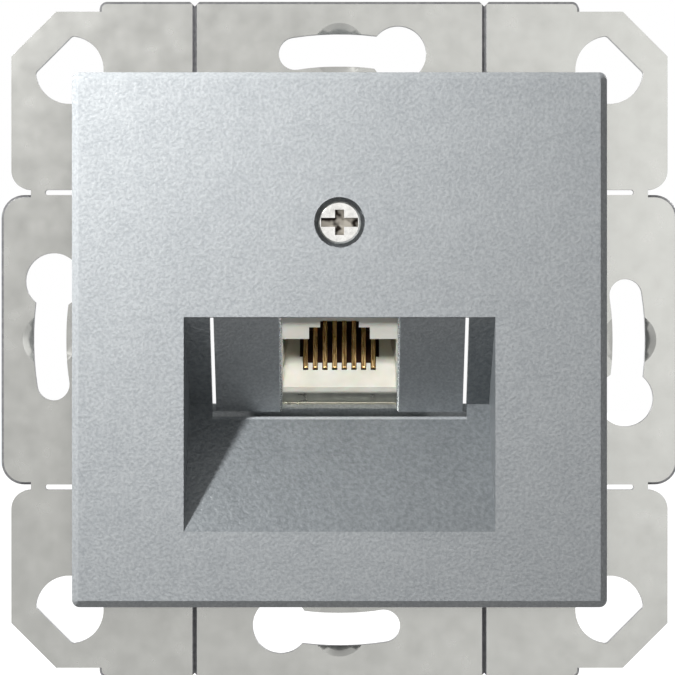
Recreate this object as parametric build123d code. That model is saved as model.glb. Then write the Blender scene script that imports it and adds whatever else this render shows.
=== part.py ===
from build123d import *
from math import cos, sin, radians, degrees, atan2
import os

# Angled flush data outlet with one eight-contact jack, its cover plate and its steel support frame.
# Millimetres. X is to the right, Z is up and Y goes into the wall. The origin is the middle of the
# support frame's rear face, which lies on the wall.

# Support frame, stamped steel sheet
frame_size = 71.0
frame_sheet = 1.2
frame_corner_step = 1.05
frame_corner_cut = 4.7
frame_edge_roll = 0.25
side_lug_height = 30.4
side_lug_radius = 2.4
top_lug_width = 50.4
top_lug_radius = 0.8
seam_width = 0.55
seam_corner_radius = 2.0
seam_bridge_inset = 4.6
seam_bridge_width = 1.5
seam_cut_length = 8.9
score_place = 15.2
score_width = 0.47
score_nick = 0.7
corner_hole_rim = 2.52
corner_hole_radius = 3.58
corner_hole_flat = 2.32
corner_hole_soften = 0.5
slot_rim = 3.36
slot_width = 3.44
slot_end_turn = 8.8
keyhole_turn = 11.6
keyhole_rim = 1.91
keyhole_radius = 2.94
dimple_radius = 2.85
dimple_depth = 0.35
window_half_width = 18.5
window_top = 18.6
window_bottom = -12.7
window_corner_radius = 1.5

# Cover plate, moulded
cover_size = 55.0
cover_front = 10.5
cover_wall = 2.0
skirt_wall = 1.6
skirt_back = 4.0
cover_bevel = 0.7
cover_corner_radius = 0.8
post_place = 22.0
post_radius = 2.5

# Recess in the cover: an angled face for the jack above a sloping ramp
recess_half_width = 16.0
recess_top = 2.34
recess_depth = 9.08
recess_bottom = -19.7
recess_draft = 2.0
recess_wall = 1.5
mouth_half_width = 13.35
mouth_ramp_cut = -8.08
mouth_top_gap = 0.1
ramp_edge_bevel = 0.3

# Jack, set at an angle to the cover
jack_tilt = 45.0
port_pitch = 1.02
port_count = 8
cavity_half_width = 5.9
cavity_top = 4.5
cavity_floor = 11.6
cavity_end = 13.2
latch_wide = 6.3
latch_wide_top = 2.8
latch_narrow = 4.0
latch_narrow_top = 1.83
latch_depth = 9.5
insulator_front = 1.3
insulator_back = 17.0
insulator_half_width = 7.1
insulator_top = 0.8
insulator_bottom = 14.95
lip_bottom = 12.35
shell_sheet = 0.35
shell_gap = 0.05
shell_front = 1.5
shell_back = 16.0
shell_lip_top = 12.65
shell_lip_end = 14.15
shell_rim_top = 14.6
shell_rim_proud = 0.1

# Contacts and their bay below the cavity floor
bay_front = 3.8
bay_wide_from = 5.75
bay_back = 11.5
bay_bottom = 13.4
bay_front_half_width = 3.875
bay_half_width = 4.2
comb_depth = 1.05
carrier_wall = 0.7
carrier_ledge = 0.5
carrier_gap = 0.05
contact_width = 0.46
contact_thick = 0.35
contact_gap = 0.05
contact_tip = (11.75, 4.35)
contact_root = (8.2, 12.55)
contact_root_radius = 0.35
rear_comb_top = 7.4
rear_comb_front = 12.0
rear_comb_past_root = 1.6
tail_start = 13.0
tail_past_board = 0.8

# Grounding springs at the sides of the cavity
spring_thick = 0.2
spring_height = 2.8
spring_middle = 8.1
spring_root = (6.4, 10.9)
spring_bulge = (5.5, 5.6)
spring_tip = (5.95, 3.0)
spring_pocket_deep = 0.9
spring_pocket_gap = 0.3
spring_pocket_ahead = 1.0

# Insert that fills the cover's mouth beside the jack
insert_side_gap = 0.4
insert_thick = 1.2
insert_top_gap = 0.05
insert_end = 14.1
insert_window = 12.0
insert_window_bevel = 0.25
insert_strip_thick = 0.65
insert_strip_end = 15.4
insert_ear_inner = 10.0
insert_ear_past_mouth = 0.85
insert_ear_from = 14.5
insert_ear_to = 16.6
insert_ear_back = 1.7

# Module holder, die-cast, riveted to the support frame
holder_wall = 1.5
holder_gap = 0.1
cheek_gap = 0.4
holder_back = 16.2
flange_thick = 1.5
flange_corner_radius = 1.5
upper_flange_half_width = 24.0
upper_flange_bottom = 8.0
upper_flange_top = 15.0
lower_flange_half_width = 13.8
lower_flange_bottom = -18.0
lower_flange_top = -12.4
cradle_front = -0.5
cradle_top_clearance = 1.2
ramp_clearance = 0.3
arm_seat = 0.3
rivet_radius = 1.5
rivet_head_radius = 2.5
rivet_head_thick = 0.9
rivet_gap = 0.05
rivet_from_end = 2.8

# Cover screw
screw_height = 12.06
screw_head_radius = 2.2
screw_head_thick = 1.7
screw_head_below = 0.15
screw_head_bevel = 0.2
screw_tip_bevel = 0.5
screw_shank_radius = 1.5
screw_gap = 0.1
screw_reach = 2.9
thread_gap = 0.02
sink_radius = 2.6
boss_radius = 4.0
boss_back = 7.0
tower_radius = 3.25
drive_slot_length = 3.8
drive_slot_width = 0.92
drive_cross_length = 2.6
drive_depth = 0.9

# Circuit board and wire blocks behind the jack
board_thick = 1.6
board_gap = 0.1
board_hole_radius = 0.38
block_inner = 4.2
block_outer = 11.0
block_from = 1.0
block_to = 14.2
block_height = 6.8
wire_slot_width = 1.0
wire_slot_depth = 4.6
wires_per_block = 4
blade_thick = 0.4
blade_width = 2.4
blade_height = 6.0
blade_mouth = 1.3
blade_slit = 0.35
blade_slit_depth = 4.4
blade_gap = 0.05

# Rear shell, its lid and the cable clamp
rear_half_width = 12.9
rear_from = -2.2
rear_to = 17.0
rear_back = 27.5
rear_wall = 1.4
tongue_from = 4.0
tongue_to = 11.0
tongue_front = 12.6
nub_radius = 0.9
nub_height = 0.9
nub_seat = 0.3
lid_thick = 1.4
lid_rim_height = 0.6
lid_rim_thick = 1.0
lid_rim_gap = 0.2
lid_tab_width = 3.0
lid_tab_place = 8.5
lid_tab_thick = 1.0
lid_tab_length = 3.0
lid_tab_gap = 0.1
hinge_out = 1.4
hinge_radius = 1.3
hinge_pin_radius = 0.7
hinge_pin_gap = 0.05
hinge_knuckle_half = 6.9
hinge_side_gap = 0.1
hinge_web_height = 2.1
hinge_web_gap = 0.1
hinge_end = 11.0
cable_half_width = 3.4
cable_floor = 2.0
ledge_reach = 7.0
ledge_thick = 1.6
ledge_half_width = 9.0
clamp_length = 4.0
clamp_thick = 1.2
clamp_rise = 1.4
clamp_screw_place = 6.9
clamp_screw_radius = 1.2
clamp_screw_head_radius = 1.9
clamp_screw_head_thick = 1.3
clamp_slot_width = 0.6
clamp_slot_depth = 0.5

# Cutting shapes run past what they cut, and edges are picked by their length and place
past = 1.0
long_edge = 5.0
near = 0.01
quarters = (0, 90, 180, 270)
half_quarter = 45.0

# Values that follow from those above
frame_corner_size = frame_size - 2 * frame_corner_step
seam_bridge_start = frame_size / 2 - seam_bridge_inset
slot_ring_radius = frame_size / 2 - slot_rim - slot_width / 2
keyhole_ring_radius = frame_size / 2 - keyhole_rim - keyhole_radius
corner_hole_place = frame_corner_size / 2 - corner_hole_rim - corner_hole_radius
tilt_cos = cos(radians(jack_tilt))
tilt_sin = sin(radians(jack_tilt))
jack_place = Plane(origin=(0, -cover_front, recess_top), x_dir=(1, 0, 0), z_dir=(0, tilt_sin, tilt_cos))
corner_along = recess_depth / tilt_cos
corner_height = recess_top - recess_depth * tilt_sin / tilt_cos
ramp_run = (recess_depth, corner_height - recess_bottom)
ramp_length = (ramp_run[0] ** 2 + ramp_run[1] ** 2) ** 0.5
ramp_normal = (ramp_run[1] / ramp_length, -ramp_run[0] / ramp_length)
ramp_edge = (-cover_front + (mouth_ramp_cut - recess_bottom) * ramp_run[0] / ramp_run[1], mouth_ramp_cut)
insert_half_width = mouth_half_width - insert_side_gap
carrier_half_width = bay_half_width + carrier_wall
shell_half_width = insulator_half_width + shell_gap + shell_sheet
shell_top = insulator_top - shell_gap - shell_sheet
shell_bottom = insulator_bottom + shell_gap + shell_sheet
cheek_inner = shell_half_width + cheek_gap
cheek_outer = cheek_inner + holder_wall
cradle_top = shell_top - holder_gap
cradle_bottom = shell_bottom + holder_gap
board_front = insulator_back
board_back = board_front + board_thick
hinge_along = rear_from - hinge_out
hinge_rise = rear_back + lid_thick / 2
ledge_top = board_back + cable_floor


def slab(sketch, front, back):
    """A flat sketch in X and Z made solid between two distances in front of the wall."""
    start = Plane(origin=(0, -back, 0), x_dir=(1, 0, 0), z_dir=(0, -1, 0))
    return extrude(start * sketch, front - back)


def peg(x, z, radius, front, back):
    """A round peg along Y."""
    return slab(Pos(x, z) * Circle(radius), front, back)


def prism(points, half_width):
    """A prism along X from points in Y and Z."""
    return extrude(Plane.YZ * make_face(Polyline(*points, close=True)), half_width, both=True)


def brick(x, s, u):
    """A box in the jack's own axes: across, down its face and inwards."""
    return Pos((x[0] + x[1]) / 2, (s[0] + s[1]) / 2, (u[0] + u[1]) / 2) * Box(
        x[1] - x[0], s[1] - s[0], u[1] - u[0])


def mid_brick(half, s, u):
    """A box in the jack's axes, centred across."""
    return brick((-half, half), s, u)


def both_sides(shape):
    """The shape and its mirror image across the middle."""
    return shape + mirror(shape, Plane.YZ)


def barrel(radius, x, s, u):
    """A round bar across, in the jack's axes."""
    return Pos((x[0] + x[1]) / 2, s, u) * Rot(0, 90, 0) * Cylinder(radius, x[1] - x[0])


def turned_in(shape):
    """A shape from the jack's axes set in the object's own."""
    return jack_place.location * shape


def port_places():
    """The places of the contacts across the jack."""
    first = -port_pitch * (port_count - 1) / 2
    return [first + port_pitch * i for i in range(port_count)]


def save(shape, name):
    """One file for each piece."""
    export_step(shape, f"parts/{name}.step")


def frame_outline():
    """Side lugs, top and bottom lugs and four cut corners, joined behind the seams."""
    half = frame_size / 2
    corner = frame_corner_size / 2
    seam_low = side_lug_height / 2
    seam_high = seam_low + seam_width
    quarter = make_face(Polyline(
        (0, seam_high), (corner, seam_high), (corner, corner - frame_corner_cut),
        (corner - frame_corner_cut, corner), (top_lug_width / 2, corner),
        (top_lug_width / 2, half), (0, half), close=True))
    quarter = fillet(quarter.vertices().sort_by_distance((corner, seam_high))[0], seam_corner_radius)
    quarter = fillet(quarter.vertices().sort_by_distance((top_lug_width / 2, half))[0], top_lug_radius)
    right = quarter + mirror(quarter, Plane.XZ)
    lugs = RectangleRounded(frame_size, side_lug_height, side_lug_radius)
    bridge = Rectangle(2 * (seam_bridge_start + seam_bridge_width), side_lug_height + 4 * seam_width)
    return right + mirror(right, Plane.YZ) + lugs + bridge


def keyhole(turn):
    """A curved slot about the middle of the frame with its round entry."""
    arc = CenterArc((0, 0), slot_ring_radius, turn - keyhole_turn, keyhole_turn + slot_end_turn)
    entry = turn - keyhole_turn
    place = (keyhole_ring_radius * cos(radians(entry)), keyhole_ring_radius * sin(radians(entry)))
    return SlotArc(arc, slot_width) + Pos(*place) * Circle(keyhole_radius)


def corner_hole(turn):
    """A round hole with a flat towards the corner."""
    beyond = Rectangle(2 * corner_hole_radius, 4 * corner_hole_radius)
    flat = Pos(corner_hole_flat + corner_hole_radius, 0) * beyond
    hole = Circle(corner_hole_radius) - flat
    hole = fillet(hole.vertices(), corner_hole_soften)
    return Rot(0, 0, turn) * Pos(corner_hole_place * 2 ** 0.5, 0) * hole


def rivet_places():
    """The four rivets near the ends of the module holder's flanges."""
    upper = (upper_flange_half_width - rivet_from_end, (upper_flange_bottom + upper_flange_top) / 2)
    lower = (lower_flange_half_width - rivet_from_end, (lower_flange_bottom + lower_flange_top) / 2)
    return [(side * x, z) for x, z in (upper, lower) for side in (-1, 1)]


def support_frame():
    """The stamped ring that is screwed to the wall box."""
    outline = frame_outline()
    for turn in quarters:
        outline -= keyhole(turn)
        outline -= corner_hole(turn + half_quarter)
    window_height = window_top - window_bottom
    outline -= Pos(0, (window_top + window_bottom) / 2) * RectangleRounded(
        2 * window_half_width, window_height, window_corner_radius)
    seam_middle = seam_bridge_start - seam_cut_length / 2
    for side in (-1, 1):
        for end in (-1, 1):
            seam_place = end * (side_lug_height + seam_width) / 2
            outline -= Pos(side * seam_middle, seam_place) * SlotOverall(seam_cut_length, seam_width)
            nick = Rot(0, 0, half_quarter) * Rectangle(score_nick, score_nick)
            outline -= Pos(side * score_place, end * frame_size / 2) * nick
    for place in rivet_places():
        outline -= Pos(*place) * Circle(rivet_radius + rivet_gap)
    frame = slab(outline, frame_sheet, 0)
    rim = [edge for edge in frame.edges().filter_by(GeomType.LINE)
           if abs(edge.center().Y + frame_sheet) < near and edge.length > long_edge
           and max(abs(edge.center().X), abs(edge.center().Z)) > frame_size / 2 - near]
    frame = chamfer(rim, frame_edge_roll)
    for side in (-1, 1):
        groove = Pos(side * score_place, -frame_sheet, 0) * Rot(0, 0, half_quarter) * Box(
            score_width / 2 ** 0.5, score_width / 2 ** 0.5, 2 * frame_size)
        frame -= groove - Box(2 * frame_size, 4 * frame_sheet, 2 * window_top)
    for turn in quarters:
        x = slot_ring_radius * cos(radians(turn))
        z = slot_ring_radius * sin(radians(turn))
        sink = Plane(origin=(x, -frame_sheet, z), x_dir=(1, 0, 0), z_dir=(0, 1, 0))
        frame -= sink * Cone(dimple_radius, slot_width / 2, dimple_depth,
                             align=(Align.CENTER, Align.CENTER, Align.MIN))
    return frame


def recess_profile():
    """The recess seen from the side: the angled face, the ramp and the open front."""
    front = -cover_front
    return [(front, recess_top), (front + recess_depth, corner_height), (front, recess_bottom)]


def recess_space():
    """The space of the recess, with sides that draw in towards the wall."""
    start = Plane(origin=(0, -cover_front, 0), x_dir=(1, 0, 0), z_dir=(0, 1, 0))
    front = start * Rectangle(2 * recess_half_width, 3 * cover_size)
    sides = extrude(front, 2 * cover_front, taper=recess_draft)
    return prism(recess_profile(), recess_half_width + past) & sides


def recess_shell():
    """The walls round the recess, before the recess is cut out of them."""
    face = Plane.YZ * make_face(Polyline(*recess_profile(), close=True))
    thick = offset(face, recess_wall, kind=Kind.INTERSECTION)
    walls = extrude(thick, recess_half_width + recess_wall, both=True)
    inside = Pos(0, (cover_size + cover_wall) / 2 - cover_front, 0)
    return walls & inside * Box(3 * cover_size, cover_size, 3 * cover_size)


def mouth_cut():
    """The opening in the angled face, down to the cut-back edge of the ramp."""
    cut = mid_brick(mouth_half_width, (mouth_top_gap, 3 * corner_along), (-2 * recess_wall, 2 * cover_wall))
    above = Pos(0, 0, mouth_ramp_cut + cover_size / 2) * Box(cover_size, cover_size, cover_size)
    return turned_in(cut) & above


def cover_plate():
    """The moulded cover with its skirt, posts, screw boss and recess."""
    plate = slab(RectangleRounded(cover_size, cover_size, cover_corner_radius), cover_front, skirt_back)
    plate = chamfer(plate.faces().sort_by(Axis.Y)[0].edges(), cover_bevel)
    inner = cover_size - 2 * skirt_wall
    plate -= slab(Rectangle(inner, inner), cover_front - cover_wall, 0)
    for x in (-post_place, post_place):
        for z in (-post_place, post_place):
            plate += peg(x, z, post_radius, cover_front - cover_wall, frame_sheet)
    plate += peg(0, screw_height, boss_radius, cover_front - cover_wall, boss_back)
    plate += recess_shell()
    plate -= recess_space()
    plate -= mouth_cut()
    cut_edge = [edge for edge in plate.edges().filter_by(Axis.X)
                if (edge.center() - Vector(0, *ramp_edge)).length < near]
    plate = chamfer(cut_edge, ramp_edge_bevel)
    sink_floor = cover_front - screw_head_below - screw_head_thick
    plate -= peg(0, screw_height, sink_radius, cover_front + past, sink_floor)
    plate -= peg(0, screw_height, screw_shank_radius + screw_gap, cover_front, 0)
    return plate


def cover_screw():
    """The countersunk-in-a-well screw, with a slot crossed by two shorter arms."""
    head_top = cover_front - screw_head_below
    head_foot = head_top - screw_head_thick
    head = peg(0, screw_height, screw_head_radius, head_top, head_foot)
    head = chamfer(head.faces().sort_by(Axis.Y)[0].edges(), screw_head_bevel)
    shank = peg(0, screw_height, screw_shank_radius, head_foot, screw_reach)
    shank = chamfer(shank.faces().sort_by(Axis.Y)[-1].edges(), screw_tip_bevel)
    drive = Rectangle(drive_slot_length, drive_slot_width) + Rectangle(drive_slot_width, drive_cross_length)
    return head + shank - slab(Pos(0, screw_height) * drive, head_top + past, head_top - drive_depth)


def aperture_insert():
    """The two panels beside the jack, joined by a strip with an ear at each end that hooks behind the mouth."""
    start = mouth_top_gap + insert_top_gap
    panels = mid_brick(insert_half_width, (start, insert_end), (0, insert_thick))
    window = mid_brick(insert_window / 2, (0, insert_end + past), (-past, insert_thick + past))
    panels -= window
    rim = [edge for edge in panels.edges().filter_by(Axis.Y)
           if abs(edge.center().Z) < near and abs(abs(edge.center().X) - insert_window / 2) < near]
    panels = chamfer(rim, insert_window_bevel)
    strip_front = insert_thick - insert_strip_thick
    strip = mid_brick(insert_half_width, (insert_end, insert_strip_end), (strip_front, insert_thick))
    ear_across = (insert_ear_inner, mouth_half_width + insert_ear_past_mouth)
    ears = both_sides(brick(ear_across, (insert_ear_from, insert_ear_to), (strip_front, insert_ear_back)))
    return turned_in(panels + strip + ears)


def jack_cavity():
    """The plug's space: main cavity, latch notch in two steps, contact bay and comb slots."""
    front = insulator_front - past
    space = mid_brick(cavity_half_width, (cavity_top, cavity_floor), (front, cavity_end))
    space += mid_brick(latch_wide / 2, (latch_wide_top, cavity_top), (front, latch_depth))
    space += mid_brick(latch_narrow / 2, (latch_narrow_top, latch_wide_top), (front, latch_depth))
    comb_back = bay_front + comb_depth
    space += mid_brick(bay_front_half_width, (cavity_floor, bay_bottom), (comb_back, bay_wide_from))
    space += mid_brick(bay_half_width, (cavity_floor, bay_bottom), (bay_wide_from, bay_back))
    space -= mid_brick(cavity_half_width, (rear_comb_top, cavity_floor), (rear_comb_front, cavity_end))
    slot_half = contact_width / 2 + contact_gap
    for x in port_places():
        across = (x - slot_half, x + slot_half)
        space += brick(across, (cavity_floor, bay_bottom), (bay_front, comb_back))
        space += brick(across, (rear_comb_top, contact_root[0] + rear_comb_past_root),
                       (rear_comb_front, cavity_end))
    return space


def carrier_envelope(gap):
    """The outside of the contact carrier: a floor under the bay and a wall behind the cavity."""
    half = carrier_half_width + gap
    end = insulator_back + (past if gap else 0)
    under = insulator_bottom + (past if gap else 0)
    floor = mid_brick(half, (cavity_floor + carrier_ledge - gap, under), (bay_front + comb_depth - gap, end))
    wall = mid_brick(half, (rear_comb_top - gap, under), (rear_comb_front - gap, end))
    return floor + wall


def contact_carrier():
    """The dark moulded block that holds the contacts' roots and floors their bay."""
    body = carrier_envelope(0) - jack_cavity()
    half = contact_width / 2 + contact_gap
    side = contact_thick / 2 + contact_gap
    for x in port_places():
        body -= brick((x - half, x + half), (contact_root[0] - side, contact_root[0] + side),
                      (cavity_end - past, insulator_back + past))
    return turned_in(body)


def jack_insulator():
    """The moulded body of the jack, with its lip under the cavity and its room for the contact carrier."""
    body = mid_brick(insulator_half_width, (insulator_top, insulator_bottom), (insulator_front, insulator_back))
    lip_back = shell_front + 2 * shell_sheet + shell_gap
    body -= mid_brick(insulator_half_width + past, (lip_bottom, insulator_bottom + past),
                      (insulator_front - past, lip_back))
    body -= jack_cavity()
    body -= carrier_envelope(carrier_gap)
    pocket_x = (cavity_half_width - past, cavity_half_width + spring_pocket_deep)
    pocket_s = (spring_middle - spring_height / 2 - spring_pocket_gap,
                spring_middle + spring_height / 2 + spring_pocket_gap)
    pocket_u = (spring_tip[1] - spring_pocket_ahead, spring_root[1] + spring_pocket_gap)
    body -= both_sides(brick(pocket_x, pocket_s, pocket_u))
    return turned_in(body)


def jack_shell():
    """The tinned sheet shell round the jack, with a folded lip below the cavity."""
    shell = mid_brick(shell_half_width, (shell_top, shell_bottom), (shell_front, shell_back))
    room = insulator_half_width + shell_gap
    shell -= mid_brick(room, (insulator_top - shell_gap, insulator_bottom + shell_gap), (0, shell_back + past))
    step = shell_front + shell_sheet
    inside = insulator_bottom + shell_gap + shell_sheet / 2
    shell += mid_brick(shell_half_width, (shell_lip_top, inside), (step, step + shell_sheet))
    shell += mid_brick(shell_half_width, (shell_lip_top, shell_lip_end), (shell_front, step))
    shell += mid_brick(shell_half_width, (shell_rim_top, inside), (shell_front - shell_rim_proud, step))
    return turned_in(shell)


def contact(x):
    """One sprung contact, from its free tip in the comb to its round root."""
    run = (contact_root[0] - contact_tip[0], contact_root[1] - contact_tip[1])
    length = (run[0] ** 2 + run[1] ** 2) ** 0.5
    lean = degrees(atan2(-run[0], run[1]))
    middle = ((contact_root[0] + contact_tip[0]) / 2, (contact_root[1] + contact_tip[1]) / 2)
    bar = Pos(x, *middle) * Rot(lean, 0, 0) * Box(contact_width, contact_thick, length)
    across = (x - contact_width / 2, x + contact_width / 2)
    tip = barrel(contact_thick / 2, across, *contact_tip)
    root = barrel(contact_root_radius, across, *contact_root)
    return turned_in(bar + tip + root)


def contact_tails():
    """The fixed ends of the contacts, through the insulator and the board."""
    side = contact_thick / 2
    half = contact_width / 2
    tails = [brick((x - half, x + half), (contact_root[0] - side, contact_root[0] + side),
                   (tail_start, board_back + tail_past_board)) for x in port_places()]
    return Compound(children=[turned_in(tail) for tail in tails])


def ground_spring(side):
    """A leaf spring that bulges into the side of the cavity."""
    points = [(side * x, u) for x, u in (spring_tip, spring_bulge, spring_root)]
    line = Polyline(*points)
    leaf = offset(line, spring_thick / 2, kind=Kind.ARC)
    flat = Plane(origin=(0, spring_middle + spring_height / 2, 0), x_dir=(1, 0, 0), z_dir=(0, -1, 0))
    return turned_in(extrude(flat * make_face(leaf), spring_height))


def ramp_line(beyond):
    """Points of a line that runs beside the ramp, at a distance outside it."""
    shift = (beyond * ramp_normal[0] - cover_front, beyond * ramp_normal[1])
    return ((recess_depth + shift[0], corner_height + shift[1]), (shift[0], recess_bottom + shift[1]))


def holder_arm():
    """The sloping arm that runs beside the ramp from the cradle to the lower flange."""
    near = ramp_line(recess_wall + ramp_clearance)
    far = ramp_line(recess_wall + ramp_clearance + holder_wall)
    slope = prism([near[0], near[1], far[1], far[0]], cheek_outer)
    root_height = jack_height(cradle_bottom, 0.0)
    keep = Pos(0, 0, (lower_flange_top + root_height) / 2) * Box(
        2 * frame_size, 2 * frame_size, root_height - lower_flange_top + 2 * arm_seat)
    return slope & keep


def jack_height(s, u):
    """The height of a point in the jack's axes."""
    return recess_top + tilt_cos * u - tilt_sin * s


def module_holder():
    """The die-cast cradle for the jack, with its flanges, screw tower and arm."""
    upper_height = upper_flange_top - upper_flange_bottom
    lower_height = lower_flange_top - lower_flange_bottom
    flange_front = frame_sheet + flange_thick
    upper = slab(Pos(0, upper_flange_bottom + upper_height / 2) * RectangleRounded(
        2 * upper_flange_half_width, upper_height, flange_corner_radius), flange_front, frame_sheet)
    lower = slab(Pos(0, lower_flange_bottom + lower_height / 2) * RectangleRounded(
        2 * lower_flange_half_width, lower_height, flange_corner_radius), flange_front, frame_sheet)
    wall_ends = (cradle_top - holder_wall, cradle_bottom + holder_wall)
    cradle = mid_brick(cheek_outer, wall_ends, (insert_thick, holder_back))
    cradle += mid_brick(cheek_outer, (cradle_bottom, wall_ends[1]), (cradle_front, insert_thick))
    top_room = (cradle_front - past, cover_wall / tilt_cos + cradle_top_clearance)
    cradle -= mid_brick(cheek_outer + past, (wall_ends[0] - past, mouth_top_gap + insert_top_gap), top_room)
    nub_place = ((tongue_from + tongue_to) / 2, (tongue_front + holder_back) / 2)
    nub = barrel(nub_radius, (cheek_outer - nub_seat, cheek_outer + nub_height), *nub_place)
    cradle = turned_in(cradle + both_sides(nub))
    tower = peg(0, screw_height, tower_radius, boss_back, frame_sheet)
    holder = upper + lower + cradle + tower + holder_arm()
    room_u = (cradle_front - 2 * past, holder_back + past)
    holder -= turned_in(mid_brick(cheek_inner, (cradle_top, cradle_bottom), room_u))
    holder -= peg(0, screw_height, screw_shank_radius + thread_gap, boss_back + past, screw_reach - screw_gap)
    for place in rivet_places():
        holder -= peg(*place, rivet_radius + rivet_gap, 2 * flange_front, 0)
    return holder


def holder_rivets():
    """Four rivets through the flanges and the frame, flush at the wall."""
    flange_front = frame_sheet + flange_thick
    rivets = []
    for place in rivet_places():
        head = peg(*place, rivet_head_radius, flange_front + rivet_head_thick, flange_front)
        head = chamfer(head.faces().sort_by(Axis.Y)[0].edges(), rivet_head_thick / 2)
        rivets.append(head + peg(*place, rivet_radius, flange_front, rivet_gap))
    return Compound(children=rivets)


def circuit_board():
    """The board that joins the contacts to the wire blocks."""
    half = rear_half_width - rear_wall - board_gap
    along = (rear_from + rear_wall + board_gap, rear_to - rear_wall - board_gap)
    board = mid_brick(half, along, (board_front, board_back))
    for x in port_places():
        board -= Pos(x, contact_root[0], board_front) * Cylinder(board_hole_radius, 4 * board_thick)
    return turned_in(board)


def wire_places():
    """The places of the wire slots down a wire block."""
    pitch = (block_to - block_from) / wires_per_block
    return [block_from + pitch * (i + 0.5) for i in range(wires_per_block)]


def wire_block(side):
    """A block with open slots for four wires and pockets for their blades."""
    across = (block_inner, block_outer)
    top = board_back + block_height
    middle = (block_inner + block_outer) / 2
    block = brick(across, (block_from, block_to), (board_back, top))
    slot_x = (block_inner - past, block_outer + past)
    for s in wire_places():
        block -= brick(slot_x, (s - wire_slot_width / 2, s + wire_slot_width / 2),
                       (top - wire_slot_depth, top + past))
        half_thick = blade_thick / 2 + blade_gap
        half_wide = blade_width / 2 + blade_gap
        block -= brick((middle - half_thick, middle + half_thick), (s - half_wide, s + half_wide),
                       (board_back - past, top + past))
    if side < 0:
        block = mirror(block, Plane.YZ)
    return turned_in(block)


def idc_blades():
    """Forked blades that cut through each wire's insulation."""
    middle = (block_inner + block_outer) / 2
    top = board_back + blade_height
    blades = []
    for side in (-1, 1):
        for s in wire_places():
            x = (side * middle - blade_thick / 2, side * middle + blade_thick / 2)
            blade = brick(x, (s - blade_width / 2, s + blade_width / 2), (board_back, top))
            blade -= brick(x, (s - blade_slit / 2, s + blade_slit / 2), (top - blade_slit_depth, top + past))
            vee = blade_mouth / 2 ** 0.5
            lead_in = Rot(half_quarter, 0, 0) * Box(2 * blade_thick, vee, vee)
            blades.append(turned_in(blade - Pos(side * middle, s, top) * lead_in))
    return Compound(children=blades)


def hinge_bar(radius, half_from, half_to):
    """Round stretches about the hinge axis on both sides."""
    return both_sides(barrel(radius, (half_from, half_to), hinge_along, hinge_rise))


def rear_shell():
    """The die-cast rear shell with its hinge ears, snap tongues, cable gap and clamp ledge."""
    shell = mid_brick(rear_half_width, (rear_from, rear_to), (holder_back, rear_back))
    inner_s = (rear_from + rear_wall, rear_to - rear_wall)
    shell -= mid_brick(rear_half_width - rear_wall, inner_s, (board_front, rear_back + past))
    shell -= mid_brick(cheek_inner, (cradle_top, cradle_bottom), (0, board_front + past))
    tongue_x = (cheek_outer + holder_gap, cheek_outer + holder_gap + rear_wall)
    tongue = brick(tongue_x, (tongue_from, tongue_to), (tongue_front, holder_back))
    tongue -= barrel(nub_radius + holder_gap, (cheek_outer, tongue_x[1] + past), (tongue_from + tongue_to) / 2,
                     (tongue_front + holder_back) / 2)
    shell += both_sides(tongue)
    shell += mid_brick(ledge_half_width, (rear_to - rear_wall / 2, rear_to + ledge_reach),
                       (ledge_top - ledge_thick, ledge_top))
    shell -= mid_brick(cable_half_width, (rear_to - 2 * rear_wall, rear_to + near),
                       (ledge_top, rear_back + past))
    ear_x = (hinge_knuckle_half + hinge_side_gap, hinge_end)
    web_u = (rear_back - hinge_web_gap - hinge_web_height, rear_back - hinge_web_gap)
    web = brick(ear_x, (hinge_along, rear_from + rear_wall / 2), web_u)
    shell += both_sides(web + barrel(hinge_radius, ear_x, hinge_along, hinge_rise))
    shell -= hinge_bar(hinge_pin_radius + hinge_pin_gap, ear_x[0] - past, hinge_end + past)
    for side in (-1, 1):
        shell -= Pos(side * clamp_screw_place, rear_to + ledge_reach / 2, ledge_top) * Cylinder(
            clamp_screw_radius + hinge_pin_gap, 4 * ledge_thick)
    return turned_in(shell)


def rear_lid():
    """The lid over the wires, with its middle knuckle, inner rim and end tabs."""
    top = rear_back + lid_thick
    lid = mid_brick(rear_half_width, (rear_from, rear_to), (rear_back, top))
    inset = rear_wall + lid_rim_gap
    outer_half = rear_half_width - inset
    along = (rear_from + inset, rear_to - inset)
    rim = mid_brick(outer_half, along, (rear_back - lid_rim_height, rear_back))
    rim -= mid_brick(outer_half - lid_rim_thick, (along[0] + lid_rim_thick, along[1] - lid_rim_thick),
                     (rear_back - lid_rim_height - past, rear_back))
    lid += rim
    tab_x = (lid_tab_place - lid_tab_width / 2, lid_tab_place + lid_tab_width / 2)
    tab_s = (rear_to + lid_tab_gap, rear_to + lid_tab_gap + lid_tab_thick)
    tab = brick(tab_x, tab_s, (rear_back - lid_tab_length, top))
    tab += brick(tab_x, (rear_to - lid_tab_thick, tab_s[1]), (rear_back, top))
    lid += both_sides(tab)
    web = mid_brick(hinge_knuckle_half, (hinge_along, rear_from + rear_wall / 2), (hinge_rise, top))
    knuckle = barrel(hinge_radius, (-hinge_knuckle_half, hinge_knuckle_half), hinge_along, hinge_rise)
    lid += web + knuckle
    lid -= barrel(hinge_pin_radius + hinge_pin_gap, (-hinge_end, hinge_end), hinge_along, hinge_rise)
    return turned_in(lid)


def lid_hinge_pin():
    """The pin through both ears and the lid's knuckle."""
    return turned_in(barrel(hinge_pin_radius, (-hinge_end, hinge_end), hinge_along, hinge_rise))


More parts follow.
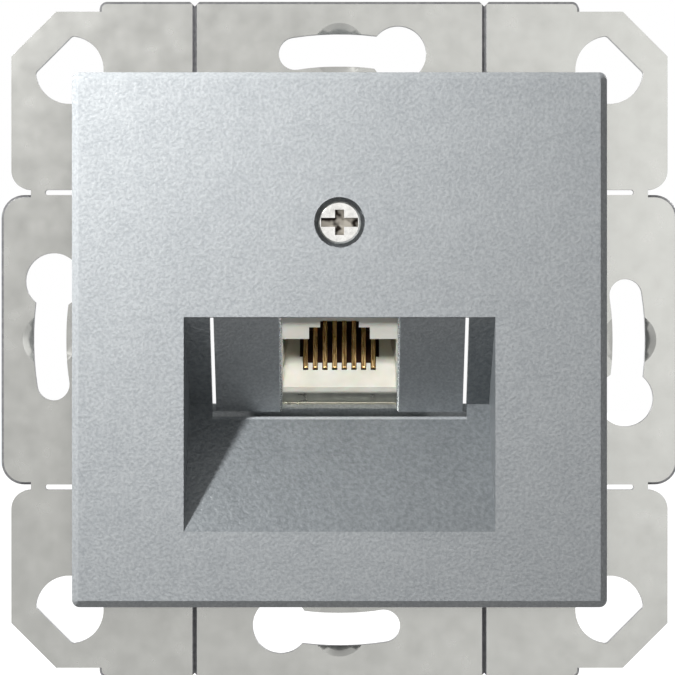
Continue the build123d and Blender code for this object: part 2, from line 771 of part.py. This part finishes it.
def cable_clamp():
    """The saddle that holds the cable down on the ledge."""
    rise = ledge_top + clamp_rise
    along = rear_to + ledge_reach / 2
    flats = mid_brick(ledge_half_width, (along - clamp_length / 2, along + clamp_length / 2),
                      (ledge_top, ledge_top + clamp_thick))
    arch = Pos(0, along, rise) * Rot(90, 0, 0) * Cylinder(cable_half_width + clamp_thick, clamp_length)
    room = Pos(0, along, rise) * Rot(90, 0, 0) * Cylinder(cable_half_width, 2 * clamp_length)
    room += mid_brick(cable_half_width, (along - clamp_length, along + clamp_length), (ledge_top - past, rise))
    clamp = flats + arch - room
    clamp -= mid_brick(2 * ledge_half_width, (along - clamp_length, along + clamp_length), (0, ledge_top))
    for side in (-1, 1):
        clamp -= Pos(side * clamp_screw_place, along, ledge_top) * Cylinder(
            clamp_screw_radius + hinge_pin_gap, 6 * clamp_thick)
    return turned_in(clamp)


def clamp_screws():
    """The two screws of the cable clamp."""
    along = rear_to + ledge_reach / 2
    seat = ledge_top + clamp_thick
    foot = ledge_top - ledge_thick
    screws = []
    for side in (-1, 1):
        head = Pos(side * clamp_screw_place, along, seat + clamp_screw_head_thick / 2) * Cylinder(
            clamp_screw_head_radius, clamp_screw_head_thick)
        head = fillet(head.faces().sort_by(Axis.Z)[-1].edges(), clamp_screw_head_thick / 3)
        shank = Pos(side * clamp_screw_place, along, (seat + foot) / 2) * Cylinder(
            clamp_screw_radius, seat - foot)
        slot = Pos(side * clamp_screw_place, along, seat + clamp_screw_head_thick) * Box(
            2 * clamp_screw_head_radius, clamp_slot_width, 2 * clamp_slot_depth)
        screws.append(turned_in(head + shank - slot))
    return Compound(children=screws)


os.makedirs("parts", exist_ok=True)
save(support_frame(), "support_frame")
save(cover_plate(), "cover_plate")
save(cover_screw(), "cover_screw")
save(aperture_insert(), "aperture_insert")
save(module_holder(), "module_holder")
save(holder_rivets(), "holder_rivets")
save(jack_shell(), "jack_shell")
save(jack_insulator(), "jack_insulator")
save(contact_carrier(), "contact_carrier")
for number, place in enumerate(port_places(), start=1):
    save(contact(place), f"contact_{number}")
save(contact_tails(), "contact_tails")
save(ground_spring(-1), "ground_spring_left")
save(ground_spring(1), "ground_spring_right")
save(circuit_board(), "circuit_board")
save(wire_block(-1), "wire_block_left")
save(wire_block(1), "wire_block_right")
save(idc_blades(), "idc_blades")
save(rear_shell(), "rear_shell")
save(rear_lid(), "rear_lid")
save(lid_hinge_pin(), "lid_hinge_pin")
save(cable_clamp(), "cable_clamp")
save(clamp_screws(), "clamp_screws")
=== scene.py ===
import bpy
import math
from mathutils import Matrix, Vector


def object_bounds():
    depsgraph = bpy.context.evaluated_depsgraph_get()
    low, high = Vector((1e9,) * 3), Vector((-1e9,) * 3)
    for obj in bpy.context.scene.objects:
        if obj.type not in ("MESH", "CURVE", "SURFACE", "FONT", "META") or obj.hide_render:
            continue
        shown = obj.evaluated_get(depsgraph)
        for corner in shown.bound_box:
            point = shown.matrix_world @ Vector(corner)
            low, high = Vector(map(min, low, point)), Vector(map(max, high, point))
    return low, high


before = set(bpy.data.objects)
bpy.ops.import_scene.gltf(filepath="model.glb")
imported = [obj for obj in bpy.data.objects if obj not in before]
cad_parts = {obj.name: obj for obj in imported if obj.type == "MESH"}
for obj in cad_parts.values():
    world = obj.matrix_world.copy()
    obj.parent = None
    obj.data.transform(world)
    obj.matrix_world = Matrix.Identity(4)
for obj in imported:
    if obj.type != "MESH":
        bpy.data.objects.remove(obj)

cadLow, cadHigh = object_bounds()
mm = 0.001


# colours and nodes

def linear(hexColour):
    # sRGB hex to the linear values that a socket takes
    parts = [int(hexColour[i:i + 2], 16) / 255 for i in (1, 3, 5)]
    straight = [p / 12.92 if p <= 0.04045 else ((p + 0.055) / 1.055) ** 2.4 for p in parts]
    return (*straight, 1.0)


def addNode(tree, kind, settings=None, links=None):
    # one node, its own settings and socket values, and what feeds it
    node = tree.nodes.new(kind)
    for key, value in (settings or {}).items():
        if isinstance(key, str) and hasattr(node, key):
            setattr(node, key, value)
        else:
            node.inputs[key].default_value = value
    for key, source in (links or {}).items():
        tree.links.new(source, node.inputs[key])
    return node


def newMaterial(name, plain):
    # a material with its shader, the shader's plain values and the piece's coordinates in metres
    material = bpy.data.materials.new(name)
    material.use_nodes = True
    tree = material.node_tree
    tree.nodes.clear()
    shader = addNode(tree, "ShaderNodeBsdfPrincipled", plain)
    out = addNode(tree, "ShaderNodeOutputMaterial", links={"Surface": shader.outputs["BSDF"]})
    place = addNode(tree, "ShaderNodeTexCoord").outputs["Object"]
    return material, tree, shader, out, place


def mixShares(tree, patterns, shares):
    # each pattern's values from fromLow to fromHigh become toLow to toHigh, and the results are added
    total = None
    for key, (fromLow, fromHigh, toLow, toHigh) in shares.items():
        share = addNode(tree, "ShaderNodeMapRange",
                        {"From Min": fromLow, "From Max": fromHigh, "To Min": toLow, "To Max": toHigh},
                        {"Value": patterns[key]}).outputs["Result"]
        if total is None:
            total = share
        else:
            total = addNode(tree, "ShaderNodeMath", {"operation": "ADD"}, {0: total, 1: share}).outputs[0]
    return total


def surface(name, look):
    # a material from its look: patterns of real sizes set its colour, its roughness and its relief
    material, tree, shader, out, place = newMaterial(name, look["plain"])
    patterns = {}
    for key, pattern in look["patterns"].items():
        source = place
        if "stretch" in pattern:
            source = addNode(tree, "ShaderNodeMapping", {"Scale": pattern["stretch"]},
                             {"Vector": place}).outputs["Vector"]
        texture = addNode(tree, pattern.get("kind", "ShaderNodeTexNoise"),
                          {"Scale": 1 / (pattern["sizeMm"] * mm), **pattern.get("settings", {})},
                          {"Vector": source})
        value = texture.outputs[pattern.get("output", "Fac")]
        if value.type == "RGBA":
            value = addNode(tree, "ShaderNodeSeparateColor", links={"Color": value}).outputs["Red"]
        patterns[key] = value
    colour = addNode(tree, "ShaderNodeMix",
                     {"data_type": "RGBA", 6: linear(look["dark"]), 7: linear(look["light"])},
                     {0: mixShares(tree, patterns, look["tone"])})
    tree.links.new(colour.outputs[2], shader.inputs["Base Color"])
    if "roughness" in look:
        tree.links.new(mixShares(tree, patterns, look["roughness"]), shader.inputs["Roughness"])
    normal = None
    for key, depthMm in look.get("relief", {}).items():
        links = {"Height": patterns[key]}
        if normal:
            links["Normal"] = normal
        normal = addNode(tree, "ShaderNodeBump", {"Distance": depthMm * mm}, links).outputs["Normal"]
    if normal:
        tree.links.new(normal, shader.inputs["Normal"])
    return material


# materials: tone says which patterns lead from the dark colour to the light one, roughness which set
# the gloss, each as (fromLow, fromHigh, toLow, toHigh), and relief how deep a pattern is in mm

lacquer = {
    # ABS, moulded with an eroded grain and sprayed with aluminium lacquer: a satin skin that shows
    # its grain and glitters finely
    "plain": {"Metallic": 0.03},
    "patterns": {
        # as wide as the photo shows, with its tones stronger and its relief deeper than real, to show
        "grain": {"sizeMm": 0.33, "settings": {"Detail": 1.0}},
        "flow": {"sizeMm": 3.0},
        # real flakes are near 0.03 mm, too fine to show, and are drawn over a pixel wide
        "flake": {"kind": "ShaderNodeTexVoronoi", "sizeMm": 0.14, "output": "Color"},
    },
    "dark": "#A5AAAE", "light": "#CACED0",
    "tone": {
        "grain": (0.33, 0.67, 0.0, 0.52),
        "flow": (0.3, 0.7, 0.1, 0.26),
        "flake": (0.0, 1.0, 0.0, 0.2),
    },
    "roughness": {"flake": (0.0, 1.0, 0.31, 0.41)},
    "relief": {"grain": 0.055},
}
recessShadeLacquer = {
    # the same lacquer with its colour darkened in the recess as painted shade: a darker and duller skin
    **lacquer,
    "plain": {"Metallic": 0.2},
    "patterns": {**lacquer["patterns"], "grain": {"sizeMm": 0.42, "settings": {"Detail": 1.0}}},
    "dark": "#74797C", "light": "#94999C",
    "roughness": {"flake": (0.0, 1.0, 0.35, 0.45)},
}
edgeHighlightLacquer = {
    # the same lacquer, lighter and near metal on the window's edges: a painted highlight, a smooth bright
    # line
    **lacquer,
    "plain": {"Metallic": 0.8},
    "dark": "#D6D9DB", "light": "#E8EBED",
    "roughness": {"flake": (0.0, 1.0, 0.2, 0.3)},
    "relief": {"grain": 0.01},
}
zincSheet = {
    # steel, cold rolled, stamped and bright zinc plated: a pale sheen, cloudy, with faint rolling lines
    "plain": {"Metallic": 1.0},
    "patterns": {
        "cloud": {"sizeMm": 2.0, "settings": {"Roughness": 0.4}},
        "rolled": {"sizeMm": 0.5, "stretch": (1.0, 1.0, 0.06)},
        # the plating's pits are near 0.05 mm, too fine to show, and are drawn this coarse
        "pits": {"sizeMm": 0.3, "settings": {"Detail": 1.0}},
    },
    "dark": "#A7A7A3", "light": "#B4B4B0",
    "tone": {"cloud": (0.2, 0.8, 0.0, 1.0)},
    "roughness": {"cloud": (0.2, 0.8, 0.24, 0.28)},
    "relief": {"rolled": 0.001, "pits": 0.0008},
}
nickelScrew = {
    # steel, turned and bright nickel plated: a warm gloss, near a mirror, with faint turning marks
    "plain": {"Metallic": 1.0},
    "patterns": {
        "worn": {"sizeMm": 0.8},
        # turning marks are near 0.03 mm, too fine to show, and are drawn a pixel wide
        "turned": {"sizeMm": 0.1, "settings": {"Detail": 1.0}},
    },
    "dark": "#D0CFCB", "light": "#E2E1DD",
    "tone": {"worn": (0.3, 0.7, 0.0, 1.0)},
    "roughness": {"worn": (0.3, 0.7, 0.16, 0.26)},
    "relief": {"turned": 0.0015},
}
moulded = {
    # engineering plastic, injection moulded: an even satin skin with a slight flow tone
    "plain": {"IOR": 1.53},
    "patterns": {
        "flow": {"sizeMm": 2.5},
        # the mould's spark grain is near 0.05 mm, too fine to show, and is drawn this coarse
        "skin": {"sizeMm": 0.3},
    },
    "tone": {"flow": (0.3, 0.7, 0.0, 1.0)},
    "relief": {"skin": 0.004},
}
creamBody = {
    # unfilled polyester: warm white, with a little light inside it
    **moulded,
    "plain": {"IOR": 1.53, "Subsurface Weight": 0.15, "Subsurface Scale": 1.2 * mm},
    "dark": "#E4E1D4", "light": "#EFEDE3",
    "roughness": {"flow": (0.3, 0.7, 0.38, 0.46)},
}
whiteBlock = {
    # polycarbonate: cool white and a touch glossier
    **moulded,
    "dark": "#D4D4CF", "light": "#E2E2DE",
    "roughness": {"flow": (0.3, 0.7, 0.34, 0.42)},
}
contactShadeCarrier = {
    # glass-filled polyester, brown-black as painted shade between and behind the contacts: dull, so the
    # contacts stand out on it
    **moulded,
    "dark": "#2A140C", "light": "#3A2014",
    "roughness": {"flow": (0.3, 0.7, 0.46, 0.54)},
}
driveShadeMetal = {
    # the screw's drive, punched: dark metal as painted shade in its hollow, with bright scuffs
    "plain": {"Metallic": 1.0, "Roughness": 0.5},
    "patterns": {"scuff": {"sizeMm": 0.9, "settings": {"Detail": 1.0}}},
    "dark": "#2A2521", "light": "#A9A49A",
    "tone": {"scuff": (0.42, 0.6, 0.0, 1.0)},
}
shearedEdge = {
    # the sheet's edge, sheared through the plating: duller and darker than the face
    "plain": {"Metallic": 1.0, "Roughness": 0.45},
    "patterns": {"torn": {"sizeMm": 0.4}},
    "dark": "#77777A", "light": "#8E8E8E",
    "tone": {"torn": (0.3, 0.7, 0.0, 1.0)},
    "relief": {"torn": 0.004},
}
goldWire = {
    # phosphor bronze, drawn and hard gold plated: a warm satin gleam, streaked along the wire
    "plain": {"Metallic": 1.0},
    "patterns": {
        # drawing lines are near 0.01 mm, too fine to show, and are drawn a pixel wide
        "drawn": {"sizeMm": 0.12, "stretch": (1.0, 0.08, 0.08)},
    },
    "dark": "#8A6A3E", "light": "#C2A676",
    "tone": {"drawn": (0.3, 0.7, 0.0, 1.0)},
    "roughness": {"drawn": (0.3, 0.7, 0.22, 0.34)},
    "relief": {"drawn": 0.003},
}
tinSheet = {
    # copper alloy, stamped, folded and tin plated: a soft grey-white metal with a cloudy sheen
    "plain": {"Metallic": 1.0},
    "patterns": {
        "cloud": {"sizeMm": 1.5, "settings": {"Detail": 3.0}},
        # matt tin's grain is near 0.01 mm, too fine to show, and is drawn a pixel wide
        "matt": {"sizeMm": 0.12, "settings": {"Detail": 1.0}},
    },
    "dark": "#C2C1B8", "light": "#D8D7CE",
    "tone": {"cloud": (0.3, 0.7, 0.0, 1.0)},
    "roughness": {"cloud": (0.3, 0.7, 0.26, 0.36)},
    "relief": {"matt": 0.002},
}
castZinc = {
    # zinc alloy, die-cast and tumbled: a mid grey skin with soft flow marks and fine pitting
    "plain": {"Metallic": 1.0},
    "patterns": {
        "flow": {"sizeMm": 4.0, "settings": {"Detail": 4.0, "Roughness": 0.6}},
        "pits": {"sizeMm": 0.25, "settings": {"Detail": 3.0, "Roughness": 0.6}},
    },
    "dark": "#90938F", "light": "#A9ACA9",
    "tone": {"flow": (0.3, 0.7, 0.0, 1.0)},
    "roughness": {"pits": (0.3, 0.7, 0.38, 0.55)},
    "relief": {"pits": 0.012},
}
greenBoard = {
    # glass-epoxy laminate, coated with solder resist: a glossy green skin over a faint woven cloth
    "plain": {"IOR": 1.5, "Roughness": 0.3, "Coat Weight": 0.4, "Coat Roughness": 0.15},
    # a strand is 0.45 mm wide, and a wave pattern's strand is a 6.28th of its size
    "patterns": {
        "weave": {"kind": "ShaderNodeTexWave", "sizeMm": 0.45 * 6.28, "settings": {"Distortion": 0.5}},
    },
    "dark": "#0E4A26", "light": "#146033",
    "tone": {"weave": (0.0, 1.0, 0.0, 1.0)},
    "relief": {"weave": 0.003},
}

materials = {name: surface(name, look) for name, look in {
    "lacqueredAbsSprayed": lacquer,
    "lacqueredAbsRecessShade": recessShadeLacquer,
    "lacqueredAbsEdgeHighlight": edgeHighlightLacquer,
    "zincPlatedSteelStamped": zincSheet,
    "nickelPlatedSteelTurned": nickelScrew,
    "creamPolyesterMoulded": creamBody,
    "nickelSteelDriveShade": driveShadeMetal,
    "zincSteelSheared": shearedEdge,
    "goldPlatedBronzeDrawn": goldWire,
    "tinnedSheetFolded": tinSheet,
    "zincDieCastTumbled": castZinc,
    "solderResistCoated": greenBoard,
    "whitePolycarbonateMoulded": whiteBlock,
    "carrierShadeMoulded": contactShadeCarrier,
}.items()}
print("materials ready", len(materials))


# pieces

edges = {
    "joinMm": 0.0005,       # corners of the CAD mesh this near become one
    "segments": 2,
    "sharpDegrees": 28,     # a sharper edge than this is rounded
}


def dress(node, material, edgeMm):
    # the node in its material, with its sharp edges rounded by a real radius
    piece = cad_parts[node]
    piece.data.materials.clear()
    piece.data.materials.append(material)
    weld = piece.modifiers.new("joinedFaces", "WELD")
    weld.merge_threshold = edges["joinMm"] * mm
    rounded = piece.modifiers.new("softEdges", "BEVEL")
    rounded.width = edgeMm * mm
    rounded.segments = edges["segments"]
    rounded.limit_method = "ANGLE"
    rounded.angle_limit = math.radians(edges["sharpDegrees"])
    rounded.use_clamp_overlap = True
    rounded.harden_normals = True
    shade = piece.modifiers.new("evenShade", "WEIGHTED_NORMAL")
    shade.keep_sharp = True


finishes = {
    # node: its material, and the radius of its edges in mm
    "support_frame": ("zincPlatedSteelStamped", 0.08),
    "cover_plate": ("lacqueredAbsSprayed", 0.1),
    "aperture_insert": ("lacqueredAbsSprayed", 0.08),
    "cover_screw": ("nickelPlatedSteelTurned", 0.06),
    "module_holder": ("zincDieCastTumbled", 0.15),
    "holder_rivets": ("nickelPlatedSteelTurned", 0.1),
    "jack_shell": ("tinnedSheetFolded", 0.05),
    "jack_insulator": ("creamPolyesterMoulded", 0.05),
    # brown-black as painted shade behind the contacts
    "contact_carrier": ("carrierShadeMoulded", 0.03),
    "contact_tails": ("goldPlatedBronzeDrawn", 0.05),
    "ground_spring_left": ("tinnedSheetFolded", 0.03),
    "ground_spring_right": ("tinnedSheetFolded", 0.03),
    "circuit_board": ("solderResistCoated", 0.05),
    "wire_block_left": ("whitePolycarbonateMoulded", 0.1),
    "wire_block_right": ("whitePolycarbonateMoulded", 0.1),
    "idc_blades": ("tinnedSheetFolded", 0.04),
    "rear_shell": ("zincDieCastTumbled", 0.15),
    "rear_lid": ("zincDieCastTumbled", 0.15),
    "lid_hinge_pin": ("nickelPlatedSteelTurned", 0.1),
    "cable_clamp": ("zincDieCastTumbled", 0.15),
    "clamp_screws": ("nickelPlatedSteelTurned", 0.08),
    **{f"contact_{number}": ("goldPlatedBronzeDrawn", 0.06) for number in range(1, 9)},
}
for node, (finish, edgeMm) in finishes.items():
    dress(node, materials[finish], edgeMm)
print("pieces dressed", len(finishes))


# second finishes, on some faces of a piece

recess = {
    # mm: the walls and the ramp of the recess, which get the painted shade
    "halfWidth": 16.0, "low": -19.9, "high": 2.3, "behind": -10.45, "facesUpTo": 0.7,
}
drive = {
    # mm: the screw's cross, which gets the painted shade
    "height": 12.06, "reach": 1.96, "from": -10.33, "to": -9.4,
}
window = {
    # the insert's slanting edges beside the jack, which get the painted highlight, by how far they face
    # sideways
    "sidewaysFrom": 0.5, "sidewaysTo": 0.9,
}
sheet = {
    # the frame's faces that look forward or back keep their plating
    "flatFrom": 0.9,
}


def inRecess(middle, normal):
    inside = abs(middle.x) < recess["halfWidth"] and recess["low"] < middle.z < recess["high"]
    return inside and middle.y > recess["behind"] and normal.z < recess["facesUpTo"]


def inDrive(middle, normal):
    near = math.hypot(middle.x, middle.z - drive["height"]) < drive["reach"]
    return near and drive["from"] < middle.y < drive["to"]


def inWindowEdge(middle, normal):
    return window["sidewaysFrom"] < abs(normal.x) < window["sidewaysTo"]


def inShearedEdge(middle, normal):
    return abs(normal.y) < sheet["flatFrom"]


secondFinishes = {
    # the recess's faces get painted shade
    "cover_plate": ("lacqueredAbsRecessShade", inRecess),
    # the screw's drive gets painted shade
    "cover_screw": ("nickelSteelDriveShade", inDrive),
    # the window's edges get a painted highlight
    "aperture_insert": ("lacqueredAbsEdgeHighlight", inWindowEdge),
    "support_frame": ("zincSteelSheared", inShearedEdge),
}
for node, (finish, chosen) in secondFinishes.items():
    # chosen takes a face's middle in mm and its normal
    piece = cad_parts[node]
    piece.data.materials.append(materials[finish])
    for face in piece.data.polygons:
        if chosen((piece.matrix_world @ face.center) / mm, face.normal):
            face.material_index = 1
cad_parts["support_frame"].modifiers["softEdges"].material = 1   # its rounded edges are sheared too
print("second finishes", len(secondFinishes))


# camera, as the photograph was taken

camera = {
    "placeMm": (-0.205, -410.5, 0.236),
    "pitchDegrees": 90,
    "sensorMm": 36.0,
    "lensMm": 207.9,
    "nearMm": 10, "farMm": 20000,
}
eye = bpy.data.cameras.new("camera")
eye.sensor_width = camera["sensorMm"]
eye.lens = camera["lensMm"]
eye.clip_start, eye.clip_end = camera["nearMm"] * mm, camera["farMm"] * mm
eyeObject = bpy.data.objects.new("camera", eye)
eyeObject.location = Vector(camera["placeMm"]) * mm
eyeObject.rotation_euler = (math.radians(camera["pitchDegrees"]), 0, 0)
bpy.context.scene.collection.objects.link(eyeObject)
bpy.context.scene.camera = eyeObject
print("camera set")


# floor and world: both show white to the camera, in gloss and through glass, without lighting the part

ground = {
    # painted board, rolled: an even matt pale floor
    "colour": "#747474", "roughness": 0.9,
    "belowMm": 30, "sizeMm": 6000,
    # the glow grows to full white away from the part, so the near floor keeps the shadow
    "glowNear": 0.8, "glowFar": 1.0, "nearMm": 60, "farMm": 260,
}
white = "#FFFFFF"
ambient = 0.07   # the world's light on matt surfaces


def seenDirectly(tree):
    # 1 for a ray from the camera, from gloss or through glass, and 0 for any other
    path = addNode(tree, "ShaderNodeLightPath")
    seen = path.outputs["Is Camera Ray"]
    for ray in ("Is Glossy Ray", "Is Transmission Ray"):
        seen = addNode(tree, "ShaderNodeMath", {"operation": "MAXIMUM"},
                       {0: seen, 1: path.outputs[ray]}).outputs[0]
    return seen


paleGround, tree, shader, out, place = newMaterial(
    "paleFloorPainted", {"Base Color": linear(ground["colour"]), "Roughness": ground["roughness"]})
away = addNode(tree, "ShaderNodeVectorMath", {"operation": "LENGTH"}, {"Vector": place}).outputs["Value"]
level = addNode(tree, "ShaderNodeMapRange",
                {"interpolation_type": "SMOOTHSTEP", "From Min": ground["nearMm"] * mm,
                 "From Max": ground["farMm"] * mm, "To Min": ground["glowNear"], "To Max": ground["glowFar"]},
                {"Value": away}).outputs["Result"]
strength = addNode(tree, "ShaderNodeMath", {"operation": "MULTIPLY"}, {0: seenDirectly(tree), 1: level})
glow = addNode(tree, "ShaderNodeEmission", {"Color": linear(white)}, {"Strength": strength.outputs[0]})
both = addNode(tree, "ShaderNodeAddShader", links={0: shader.outputs["BSDF"], 1: glow.outputs["Emission"]})
tree.links.new(both.outputs["Shader"], out.inputs["Surface"])

floorMesh = bpy.data.meshes.new("floor")
half = ground["sizeMm"] / 2 * mm
floorHeight = cadLow.z - ground["belowMm"] * mm
floorCorners = [(x, y, floorHeight) for x, y in ((-half, -half), (half, -half), (half, half), (-half, half))]
floorMesh.from_pydata(floorCorners, [], [(0, 1, 2, 3)])
floorMesh.materials.append(paleGround)
floor = bpy.data.objects.new("floor", floorMesh)
bpy.context.scene.collection.objects.link(floor)

world = bpy.data.worlds.new("studio")
world.use_nodes = True
bpy.context.scene.world = world
sky = world.node_tree
sky.nodes.clear()
skyStrength = addNode(sky, "ShaderNodeMapRange", {"To Min": ambient, "To Max": 1.0},
                      {"Value": seenDirectly(sky)}).outputs["Result"]
skyShade = addNode(sky, "ShaderNodeBackground", {"Color": linear(white)}, {"Strength": skyStrength})
addNode(sky, "ShaderNodeOutputWorld", links={"Surface": skyShade.outputs["Background"]})
print("floor and world set")


# lamps

lamps = {
    # sizes in mm; the card is only there for the metal to mirror
    "key": {"place": (-70, -78, 68), "aim": (0, -8, -5), "size": 8, "watts": 0.17},
    "rearKey": {"place": (420, 420, 280), "aim": (0, 10, 0), "size": 220, "watts": 3.2},
    "rearFill": {"place": (-380, 380, 120), "aim": (0, 10, 0), "size": 260, "watts": 1.6},
    "card": {"place": (330, -900, 40), "aim": (0, -8, 0), "size": 600, "watts": 1.0, "glossOnly": True},
    # lights the jack alone, which the recess would leave dim
    "jackLamp": {"place": (-10, -300, 85), "aim": (0, -5, -4), "size": 60, "watts": 1.0,
                 "only": ("jack_", "contact_")},
}
for name, look in lamps.items():
    lamp = bpy.data.lights.new(name, "AREA")
    lamp.shape = "DISK"
    lamp.size = look["size"] * mm
    lamp.energy = look["watts"]
    lampObject = bpy.data.objects.new(name, lamp)
    lampObject.location = Vector(look["place"]) * mm
    towards = (Vector(look["aim"]) - Vector(look["place"])).normalized()
    lampObject.rotation_mode = "QUATERNION"
    lampObject.rotation_quaternion = towards.to_track_quat("-Z", "Y")
    lampObject.visible_camera = False
    lampObject.visible_diffuse = not look.get("glossOnly", False)
    bpy.context.scene.collection.objects.link(lampObject)
    if "only" in look:
        litPieces = bpy.data.collections.new(name + "Pieces")
        for node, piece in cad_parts.items():
            if node.startswith(look["only"]):
                litPieces.objects.link(piece)
        lampObject.light_linking.receiver_collection = litPieces
bpy.context.scene.view_settings.view_transform = "Standard"
print("lamps set", len(lamps))
